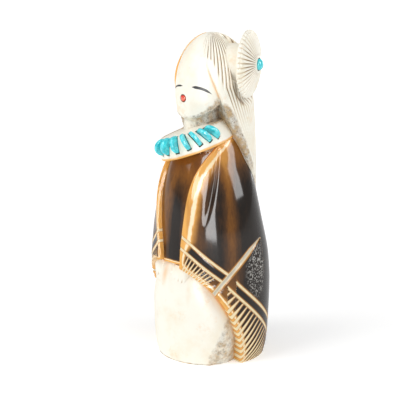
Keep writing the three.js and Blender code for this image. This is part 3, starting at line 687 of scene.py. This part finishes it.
def marrowAmount(on, face, angle, z, edge, axisHeight):  # porous marrow with painted shade under the jaw, and marrow at the hair's ends and in a low corner
    a = np.abs(angle)
    fromJaw = z - jawHeight(np.minimum(a, head["jawLimit"]))
    # porous marrow and painted shade under the jaw
    underJawMarrowAndShade = 1 - smooth(-0.6, 2.0 + 2.2 * smooth(25, 60, a), fromJaw)
    marrow = np.where(face, underJawMarrowAndShade * (0.42 + 0.5 * smooth(5, 35, a)), 0)
    hairEnd = (1 - smooth(0.8, 3.8, edge)) * (1 - smooth(72, 78, z)) * (0.45 + 0.55 * smooth(54, 63, z))
    marrow = np.where(on["hair"], hairEnd, marrow)
    crown = 0.9 * bell(angle, -62, 16) * bell(z, 92.3, 1.8)
    marrow = np.maximum(marrow, np.where(on["hair"] | face, crown, 0))
    lowCorner = smooth(-2.5, 3.5, (a - 36) * 0.6 - z) * smooth(32, 46, a)
    marrow = np.where(on["skirt"], np.maximum(0.55 * lowCorner, 0.6 * (z < 0.6)), marrow)
    marrow = np.where(on["collar"], 0.7 * smooth(10, 50, a) * smooth(4.4, 5.8, axisHeight), marrow)
    return marrow


eyes = {"middle": 7.2, "start": 8.4, "end": 37.8, "farThin": 1.6, "height": 80.35, "drop": 1.75, "bend": 2.2}


def inkFields(angle, z):  # height over the eyelid's power curve in mm, and the share along it
    lid = (np.abs(angle - eyes["middle"]) - eyes["start"]) / (eyes["end"] - eyes["start"])
    inkAcross = z - (eyes["height"] - eyes["drop"] * np.maximum(lid, 0) ** eyes["bend"])
    return inkAcross * np.where(angle < eyes["middle"], eyes["farThin"], 1), lid


def paintFields(mesh):  # every colour mask as a value at face corners, worked out from place and shell
    place, corner = readAll(mesh.vertices, "co", float, 3), readAll(mesh.loops, "vertex_index")
    total, shell = readAll(mesh.polygons, "loop_total"), readAll(mesh.attributes["shell"].data, "value")
    x, y, z = (place.reshape(-1, 3) / mm)[corner].T
    shell = np.repeat(shell, total)
    angle, radius = np.degrees(np.arctan2(x, -y)), np.hypot(x, y)
    a = np.abs(angle)
    on = {name: shell == number for name, number in shells.items()}
    cloth, dress = on["shawl"], on["core"] & (z < collar["height"])
    hairy, face = on["hair"], on["core"] & (z >= collar["height"])

    hem = wornDistance(angle, z, radius, dress)
    panel, upper, lower, behind = carvedFields(angle, z)
    count, share = fringe(angle, z)
    last = np.where(behind, lines["backFringe"], lines["frontFringe"])
    fringed = cloth & (lower < 0) & (count > -0.5) & (count < last - 0.55)

    axisHeight = x * collarAxis[0] + (y + collar["forward"]) * collarAxis[1]
    axisHeight = axisHeight + (z - collar["height"]) * collarAxis[2]
    edge = np.radians(a - hairEdge(z)) * radius
    dirtAndShade = np.where(hairy, hairStrength(angle % 360, z), 0)
    dirtAndShade = np.where(on["whorl"], whorlGrime(x, y, z), dirtAndShade)
    # slot and hole walls round the inlays: dark glue line and painted shade in the gap
    dirtAndShade = np.where(on["slot"], 0.75, dirtAndShade)
    for side in (0, 1):
        mid = hands["angle"][side] + hands["lean"][side] * (z - hands["height"])
        finger = ridges((angle - mid) / (2 * hands["half"][side] * 0.86) * hands["fingers"])
        onHand = on["hand"] & ((angle > -10) == (side == 0))
        dirtAndShade = np.where(onHand, 0.8 * finger * (1 - smooth(24, 27.5, z)), dirtAndShade)
    # painted shade on the collar's top under the jaw
    dirtAndShade = np.where(on["collar"], 0.3 * smooth(5.2, 6.2, axisHeight), dirtAndShade)
    stainAndShade = stainAndShadeAmount(on, face, angle, z, edge, axisHeight)
    marrow = marrowAmount(on, face, angle, z, edge, axisHeight)
    inkAcross, inkAlong = inkFields(angle, z)

    fields = {
        "rind": (cloth | dress) * 1.0, "hem": hem, "panel": np.where(cloth, panel, noLine),
        "upper": np.where(cloth & (a < 168), upper, noLine),
        "lower": np.where(cloth & (a < 150), lower, noLine),
        "count": count, "share": np.where(fringed, share, 2), "tone": rindTone(angle, z, dress),
        "pits": np.where(cloth, bell(a, 94, 14) * bell(z, 28, 9) * 1.1 * smooth(0.5, 2, -panel), 0),
        "dirtAndShade": dirtAndShade, "stainAndShade": stainAndShade, "marrow": marrow,
        "inkAcross": np.where(face, inkAcross, noLine), "inkAlong": inkAlong,
    }
    for name, value in fields.items():
        mesh.attributes.new(name, "FLOAT", "CORNER").data.foreach_set("value", value.astype(np.float32))
    return (cloth | dress)[np.cumsum(total) - 1]


class Graph:  # short words for adding nodes to one shader tree
    def __init__(self, tree):
        self.tree = tree

    def feed(self, socket, value):
        if isinstance(value, bpy.types.NodeSocket):
            self.tree.links.new(value, socket)
        else:
            socket.default_value = value

    def fill(self, sockets, **inputs):  # by name, an underscore standing for a space
        for name, value in inputs.items():
            self.feed(sockets[name.replace("_", " ")], value)

    def node(self, kind, **inputs):
        made = self.tree.nodes.new(kind)
        self.fill(made.inputs, **inputs)
        return made

    def calc(self, operation, *values):
        made = self.tree.nodes.new("ShaderNodeMath")
        made.operation = operation
        for socket, value in zip(made.inputs, values):
            self.feed(socket, value)
        return made.outputs[0]

    def plus(self, first, second):
        return self.calc("ADD", first, second)

    def minus(self, first, second):
        return self.calc("SUBTRACT", first, second)

    def times(self, first, second):
        return self.calc("MULTIPLY", first, second)

    def larger(self, first, second):
        return self.calc("MAXIMUM", first, second)

    def shaken(self, value, noise, amount):  # value plus amount times how far the noise is from its middle
        return self.plus(value, self.times(self.minus(noise, 0.5), amount))

    def step(self, value, low, high, start=0.0, end=1.0):  # smooth rise between low and high
        ends = {"From_Min": low, "From_Max": high, "To_Min": start, "To_Max": end}
        made = self.node("ShaderNodeMapRange", Value=value, **ends)
        made.interpolation_type = "SMOOTHSTEP"
        return made.outputs[0]

    def mix(self, share, first, second, blend="MIX"):
        made = self.tree.nodes.new("ShaderNodeMix")
        made.data_type = "RGBA"
        made.blend_type = blend
        for index, value in ((0, share), (6, first), (7, second)):
            self.feed(made.inputs[index], value)
        return made.outputs[2]

    def field(self, name):
        made = self.tree.nodes.new("ShaderNodeAttribute")
        made.attribute_name = name
        return made.outputs["Fac"]

    def noise(self, scale, detail=4.0, rough=0.6, stretch=(1, 1, 1)):
        place = self.node("ShaderNodeTexCoord").outputs["Object"]
        scaled = self.node("ShaderNodeMapping", Vector=place, Scale=stretch).outputs[0]
        values = {"Scale": scale, "Detail": detail, "Roughness": rough}
        return self.node("ShaderNodeTexNoise", Vector=scaled, **values).outputs[0]

    def cells(self, scale):
        place = self.node("ShaderNodeTexCoord").outputs["Object"]
        return self.node("ShaderNodeTexVoronoi", Vector=place, Scale=scale).outputs["Distance"]


def newGroup(name, inputs, outputs):  # a node group of number sockets, its inputs with their first values
    tree = bpy.data.node_groups.new(name, "ShaderNodeTree")
    for label, value in inputs.items():
        tree.interface.new_socket(label, in_out="INPUT", socket_type="NodeSocketFloat").default_value = value
    for label in outputs:
        tree.interface.new_socket(label, in_out="OUTPUT", socket_type="NodeSocketFloat")
    return Graph(tree), tree.nodes.new("NodeGroupInput").outputs, tree.nodes.new("NodeGroupOutput").inputs


def grainGroup():  # upright fibres of antler: 0.7 of a coarse noise plus 0.3 of a fine one
    g, into, out = newGroup("Antler grain", {"Scale": 1.0}, ["Fibre"])
    coarse = g.noise(260.0, 5.0, 0.62, (1, 1, 0.16))
    fine = g.noise(1500.0, 3.0, 0.6, (1, 1, 0.3))
    g.feed(out["Fibre"], g.times(g.plus(g.times(coarse, 0.7), g.times(fine, 0.3)), into["Scale"]))
    return g.tree


def porousGroup():  # spongy marrow: the deeper of large hollows in patches and small ones all over
    g, into, out = newGroup("Porous marrow", {"Amount": 1.0}, ["Pits"])
    large = g.step(g.cells(1050.0), 0.5, 0.18)
    small = g.step(g.cells(2300.0), 0.5, 0.15)
    patchy = g.step(g.noise(420.0, 3.0), 0.38, 0.62)
    pits = g.times(g.larger(g.times(large, patchy), g.times(small, 0.7)), into["Amount"])
    g.feed(out["Pits"], pits)
    return g.tree


def lineGroup():  # 1 on a carved line whose distance field is given, falling to 0 over its softness
    inputs = {"Distance": noLine, "Half Width": 0.4, "Softness": 0.1}
    g, into, out = newGroup("Carved line", inputs, ["Mask"])
    away = g.calc("ABSOLUTE", into["Distance"])
    outer = g.plus(into["Half Width"], into["Softness"])
    inner = g.minus(into["Half Width"], into["Softness"])
    g.feed(out["Mask"], g.minus(1.0, g.step(away, inner, outer)))
    return g.tree


grainTree, porousTree, lineTree = grainGroup(), porousGroup(), lineGroup()


def newMaterial(name, colour, roughness):  # a plain surface, and short words for its shader tree
    material = bpy.data.materials.new(name)
    material.use_nodes = True
    material.diffuse_color = (*colour, 1)
    g = Graph(material.node_tree)
    surface = material.node_tree.nodes["Principled BSDF"]
    g.fill(surface.inputs, Base_Color=(*colour, 1), Roughness=roughness)
    return material, g, surface


def placeGroup(g, tree, **inputs):  # a node group in a shader, its inputs fed by name
    made = g.tree.nodes.new("ShaderNodeGroup")
    made.node_tree = tree
    g.fill(made.inputs, **inputs)
    return made.outputs


def lineMask(g, distance, half, soft):  # a carved line's mask by its distance field
    return placeGroup(g, lineTree, Distance=distance, Half_Width=half, Softness=soft)["Mask"]


def bumped(g, surface, height, depth):  # fine relief, its depth in metres
    made = g.node("ShaderNodeBump", Height=height, Distance=depth, Strength=1.0)
    g.feed(surface.inputs["Normal"], made.outputs[0])


cream = {
    "light": (0.90, 0.87, 0.77, 1), "warm": (0.83, 0.74, 0.56, 1), "tan": (0.50, 0.33, 0.15, 1),
    "peach": (0.84, 0.64, 0.42, 1), "dull": (0.62, 0.60, 0.53, 1),
    "deep": (0.17, 0.095, 0.04, 1), "stainAndShade": (0.84, 0.43, 0.10, 1), "bone": (0.66, 0.64, 0.58, 1),
    "pit": (0.30, 0.25, 0.19, 1), "ink": (0.008, 0.008, 0.010, 1), "roughness": 0.42, "inkWidth": 0.4,
    "relief": 0.00012,
    "clouds": (  # scale, detail, roughness and stretch of the noise, where it starts and ends, share, colour
        (120.0, 5.0, 0.6, 1, 0.42, 0.72, 0.55, "warm"), (210.0, 6.0, 0.7, 1, 0.55, 0.74, 0.6, "peach"),
        (480.0, 5.0, 0.75, 0.3, 0.6, 0.75, 0.5, "dull"),
    ),
}


def creamMaterial():  # ivory, warmed by noise, then groove dirt and painted shade, warm stain and painted shade, marrow and the inked eyelids over it
    material, g, surface = newMaterial("creamAntler", cream["light"][:3], cream["roughness"])
    grain = placeGroup(g, grainTree)
    marrow = g.field("marrow")
    porous = placeGroup(g, porousTree)
    base = cream["light"]
    for scale, detail, rough, stretch, start, end, share, colour in cream["clouds"]:
        cloud = g.noise(scale, detail, rough, (1, 1, stretch))
        base = g.mix(g.step(cloud, start, end, 0.0, share), base, cream[colour])
    base = g.mix(g.step(grain["Fibre"], 0.5, 0.8, 0.0, 0.25), base, cream["warm"])
    # groove dirt, and painted shade in hollows, gaps and under the jaw, from tan to deep brown
    dirtAndShade = g.field("dirtAndShade")
    dirtAndShadeColour = g.mix(g.step(dirtAndShade, 0.55, 1.0), cream["tan"], cream["deep"])
    base = g.mix(g.step(g.plus(dirtAndShade, g.times(g.noise(500.0), 0.2)), 0.3, 0.95, 0.0, 0.92), base, dirtAndShadeColour)
    # warm stain and painted shade where parts meet, patchy by noise
    uneven = g.times(g.field("stainAndShade"), g.step(g.noise(300.0), 0.2, 0.6, 0.7, 1.1))
    base = g.mix(g.step(uneven, 0.1, 0.9), base, cream["stainAndShade"])
    spongy = g.mix(g.step(g.noise(350.0, 4.0), 0.35, 0.65), cream["bone"], cream["tan"])
    spongy = g.mix(porous["Pits"], spongy, cream["pit"])
    ragged = g.shaken(marrow, g.noise(600.0), 0.9)
    amount = g.times(g.step(ragged, 0.25, 0.75), g.step(marrow, 0.02, 0.2))
    base = g.mix(amount, base, spongy)
    along = g.field("inkAlong")
    swell = g.times(g.step(along, -0.06, 0.2), g.step(along, 1.12, 0.75))
    lid = lineMask(g, g.field("inkAcross"), g.times(swell, cream["inkWidth"]), 0.06)
    base = g.mix(g.times(lid, g.step(swell, 0.02, 0.1)), base, cream["ink"])
    roughness = g.step(amount, 0.0, 1.0, cream["roughness"], 0.8)
    g.fill(surface.inputs, Base_Color=base, Roughness=roughness)
    relief = g.minus(g.times(grain["Fibre"], 0.25), g.times(porous["Pits"], amount))
    bumped(g, surface, relief, cream["relief"])
    return material


rind = {
    "black": (0.010, 0.0055, 0.003, 1), "brown": (0.062, 0.026, 0.008, 1), "russet": (0.21, 0.078, 0.011, 1),
    "amber": (0.60, 0.28, 0.06, 1), "gold": (0.82, 0.42, 0.10, 1), "crestHighlight": (0.97, 0.86, 0.60, 1),
    "line": (0.86, 0.73, 0.47, 1), "halo": (0.58, 0.25, 0.05, 1), "ash": (0.60, 0.58, 0.52, 1),
    "speck": (0.60, 0.58, 0.54, 1), "roughness": 0.5, "specular": 0.03, "coat": 0.55, "coatRoughness": 0.09,
    "relief": 0.00009, "halfWidths": {"upper": 0.33, "lower": 0.33, "panel": 0.6},
    "tones": ((0.02, 0.3, "brown"), (0.22, 0.55, "russet"), (0.5, 0.95, "amber")),
}


def rindMaterial():  # brown rind by tone, darker in the border, with pale carved lines and a golden edge with a painted highlight along its crest
    material, g, surface = newMaterial("polishedRind", rind["russet"][:3], rind["roughness"])
    grain = placeGroup(g, grainTree)
    tone = g.shaken(g.field("tone"), grain["Fibre"], 0.7)
    tone = g.shaken(tone, g.noise(90.0, 4.0), 0.3)
    lower, upper, share = g.field("lower"), g.field("upper"), g.field("share")
    inBand = g.times(g.step(lower, 0.1, 0.4), g.step(upper, -0.1, -0.4))
    inFringe = g.step(share, 1.3, 1.1)
    carved = g.larger(inBand, g.times(inFringe, g.step(share, 0.05, 0.4)))
    tone = g.minus(tone, g.times(carved, 0.5))
    colour = rind["black"]
    for low, high, name in rind["tones"]:
        colour = g.mix(g.step(tone, low, high), colour, rind[name])
    pitted = g.times(g.step(g.field("pits"), 0.25, 0.8), g.step(g.noise(1700.0, 2.0), 0.5, 0.62))
    colour = g.mix(g.times(pitted, 0.7), colour, rind["speck"])
    worn = g.shaken(g.field("hem"), g.noise(300.0), 0.8)
    worn = g.shaken(worn, grain["Fibre"], 2.2)
    colour = g.mix(g.step(worn, 5.0, 3.2, 0.0, 0.9), colour, rind["amber"])
    streaks = g.step(g.noise(260.0, 4.0, 0.6, (1, 1, 0.12)), 0.5, 0.68, 0.0, 0.8)
    streaky = g.mix(streaks, rind["gold"], rind["halo"])
    colour = g.mix(g.step(worn, 3.7, 3.0, 0.0, 1.0), colour, streaky)
    # painted highlight: a pale band along the crest of the rolled edge
    crestHighlight = g.times(g.step(worn, 3.3, 2.9), g.step(worn, 1.9, 2.3))
    colour = g.mix(g.times(crestHighlight, 0.85), colour, rind["crestHighlight"])
    beat = g.calc("ABSOLUTE", g.minus(g.calc("FRACT", g.plus(g.field("count"), 0.5)), 0.5))
    width = g.step(share, 0.0, 1.0, 0.26, 0.07)
    line = g.times(lineMask(g, beat, width, 0.07), g.times(g.step(share, 0.98, 0.86), inFringe))
    wide = lineMask(g, beat, g.plus(width, 0.1), 0.08)
    halo = g.times(wide, g.times(g.step(share, 1.0, 0.9), inFringe))
    for name, half in rind["halfWidths"].items():
        line = g.larger(line, lineMask(g, g.field(name), half, 0.1))
        halo = g.larger(halo, lineMask(g, g.field(name), half * 1.6, 0.22))
    colour = g.mix(g.times(halo, 0.85), colour, rind["halo"])
    colour = g.mix(line, colour, rind["line"])
    colour = g.mix(g.times(lineMask(g, g.field("panel"), 0.4, 0.2), 0.8), colour, rind["ash"])
    dull = g.larger(line, pitted)
    roughness = g.step(dull, 0.0, 1.0, rind["roughness"], 0.6)
    coat = g.step(dull, 0.0, 1.0, rind["coat"], 0.1)
    g.fill(surface.inputs, Base_Color=colour, Roughness=roughness, Specular_IOR_Level=rind["specular"])
    g.fill(surface.inputs, Coat_Weight=coat, Coat_Roughness=rind["coatRoughness"])
    relief = g.minus(g.times(grain["Fibre"], 0.3), g.times(pitted, 0.9))
    bumped(g, surface, relief, rind["relief"])
    return material


gems = {
    "turquoise": (0.02, 0.58, 0.66, 1), "milk": (0.12, 0.86, 0.92, 1), "vein": (0.05, 0.22, 0.22, 1),
    "coral": (0.74, 0.045, 0.02, 1), "coralPale": (0.86, 0.20, 0.10, 1), "roughness": 0.2,
    "coat": 0.5, "coatRoughness": 0.06, "relief": 0.00003,
}


def gemMaterial(name, deep, pale, vein):  # two tones clouded by noise, thin veins where another crosses 0.5
    material, g, surface = newMaterial(name, deep[:3], gems["roughness"])
    colour = g.mix(g.step(g.noise(700.0, 5.0), 0.4, 0.68), deep, pale)
    crossing = g.calc("ABSOLUTE", g.minus(g.noise(330.0, 3.0, 0.7), 0.5))
    colour = g.mix(g.step(crossing, 0.014, 0.0, 0.0, 0.55), colour, vein)
    g.fill(surface.inputs, Base_Color=colour, Coat_Weight=gems["coat"], Coat_Roughness=gems["coatRoughness"])
    bumped(g, surface, g.noise(1200.0, 3.0), gems["relief"])
    return material


carving = combined(
    makeCore(),
    [makeSkirt(), makeShawl(), makeHair(), makeWhorl(), makeCollar(), makeHand(0), makeHand(1)],
    [slotCutter(a) for a in stones["angles"]]
    + [holeCutter(inlays["mouthRadius"], inlays["mouthDepth"], mouthSeat, forwards)]
    + [holeCutter(inlays["cabochonRadius"], inlays["cabochonSeat"], cabochonSpot, whorlAxis)],
)
carving.name = carving.data.name = "antlerCarving"
mesh = carving.data
onRind = paintFields(mesh)
mesh.materials.clear()
mesh.materials.append(creamMaterial())
mesh.materials.append(rindMaterial())
mesh.polygons.foreach_set("material_index", onRind.astype(np.int32))
mesh.shade_smooth()
mesh.set_sharp_from_angle(angle=math.radians(40))
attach(carving, "root")
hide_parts("antler_carving")
print("carving", len(mesh.vertices), "vertices", len(mesh.polygons), "faces")


def inlay(name, node, profile, spot, axis, material):  # a small piece turned about its own axis
    made = turnedShell(name, revolved(profile, 48, spot, axis))
    made.data.materials.append(material)
    made.data.shade_smooth()
    made.data.set_sharp_from_angle(angle=math.radians(50))
    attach(made, "root")
    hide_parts(node)


turquoise = gemMaterial("turquoiseStone", gems["turquoise"], gems["milk"], gems["vein"])
coral = gemMaterial("redCoral", gems["coral"], gems["coralPale"], gems["coral"])
bend = np.radians(np.linspace(-90, 90, 9))
half, flat = stones["thick"] / 2, 1.2
rimWidth = stones["round"] * np.cos(bend) + stones["radius"] - stones["round"]
rimHeight = stones["round"] * np.sin(bend) + np.sign(np.sin(bend)) * (half - stones["round"])
slab = np.column_stack([rimWidth, rimHeight])
slab = np.concatenate([[[flat, -half]], slab, [[flat, half]]])
for k, angle in enumerate(stones["angles"], start=1):
    centre, normal = stoneSeat(angle)
    inlay(f"necklaceStone{k}", f"necklace_stone_{k}", slab, centre, normal, turquoise)
mouth = domed(inlays["mouthRadius"], -inlays["mouthDepth"], 0.0, inlays["mouthProud"])
inlay("mouthCoral", "mouth_coral", mouth, mouthSeat, forwards, coral)
dome = domed(inlays["cabochonRadius"], -inlays["cabochonSeat"], 0.1, inlays["cabochonRise"])
inlay("whorlCabochon", "whorl_cabochon", dome, cabochonSpot, whorlAxis, turquoise)
print("inlays", len(stones["angles"]) + 2)

scene.view_settings.view_transform = "Standard"

view = {"from": (45.0, 15.0), "distance": 0.4, "aim": 0.043, "lens": 118.6, "sensor": 36.0, "shift": -0.0072}


def outFrom(azimuth, elevation):  # unit direction from the figure, the azimuth counted from her front
    a, e = math.radians(azimuth), math.radians(elevation)
    return np.array([math.sin(a) * math.cos(e), -math.cos(a) * math.cos(e), math.sin(e)])


def aimed(name, data, azimuth, elevation, distance):  # stands out along its direction and looks at the figure
    made = placed(name, data)
    made.location = outFrom(azimuth, elevation) * distance + np.array([0, 0, view["aim"]])
    made.rotation_euler = (math.radians(90 - elevation), 0, math.radians(azimuth))
    return made


def makeCamera():  # long lens, its picture shifted a little sideways
    data = bpy.data.cameras.new("camera")
    data.lens, data.sensor_width, data.shift_x = view["lens"], view["sensor"], view["shift"]
    scene.camera = aimed("camera", data, *view["from"], view["distance"])


lights = {
    "rim": {"from": (200, 10), "distance": 0.55, "size": (0.22, 0.40), "power": 1.6, "soft": False},
    "window": {"from": (48, 18), "distance": 0.55, "size": (0.21, 0.50), "power": 5.6, "soft": False},
    "strip": {"from": (116, 24), "distance": 0.55, "size": (0.18, 0.30), "power": 2.0, "soft": False},
    "key": {"from": (-20, 42), "distance": 0.70, "size": (0.45, 0.45), "power": 2.4, "soft": True},
    "fill": {"from": (95, 50), "distance": 0.80, "size": (0.60, 0.60), "power": 2.1, "soft": True},
}


def makeLight(name, spec):  # an oblong soft box turned towards the middle of the figure
    data = bpy.data.lights.new(name, "AREA")
    data.shape, data.energy = "RECTANGLE", spec["power"]
    data.size, data.size_y = spec["size"]
    made = aimed(name, data, *spec["from"], spec["distance"])
    made.visible_diffuse = spec["soft"]  # rim, window and strip only make reflections


studio = {
    "sky": (1.0, 1.0, 1.0, 1.0), "skyStrength": 0.44, "seenStrength": 1.3,
    "floor": (0.93, 0.93, 0.93), "floorRoughness": 0.9, "floorSpecular": 0.1, "floorSize": 6.0,
    "nearGlow": 0.3, "farGlow": 0.66, "near": 0.12, "far": 0.7,
}


def makeStudio():  # a sky that is brighter to the camera than as light, and a floor that glows more far out
    world = bpy.data.worlds.new("studio")
    world.use_nodes = True
    sky = world.node_tree.nodes["Background"].inputs
    sky["Color"].default_value = studio["sky"]
    w = Graph(world.node_tree)
    seen = w.node("ShaderNodeLightPath").outputs["Is Camera Ray"]
    w.feed(sky["Strength"], w.step(seen, 0.0, 1.0, studio["skyStrength"], studio["seenStrength"]))
    scene.world = world
    s = studio["floorSize"]
    mesh = bpy.data.meshes.new("floor")
    mesh.from_pydata([(-s, -s, 0), (s, -s, 0), (s, s, 0), (-s, s, 0)], [], [(0, 1, 2, 3)])
    material, g, surface = newMaterial("paper", studio["floor"], studio["floorRoughness"])
    g.fill(surface.inputs, Specular_IOR_Level=studio["floorSpecular"], Emission_Color=studio["sky"])
    place = g.node("ShaderNodeTexCoord").outputs["Object"]
    away = g.node("ShaderNodeVectorMath", Vector=place)
    away.operation = "LENGTH"
    out = (studio["near"], studio["far"], studio["nearGlow"], studio["farGlow"])
    g.feed(surface.inputs["Emission Strength"], g.step(away.outputs["Value"], *out))
    mesh.materials.append(material)
    made = placed("floor", mesh)


makeCamera()
makeStudio()
for name, spec in lights.items():
    makeLight(name, spec)
print("studio", len(lights), "lights")
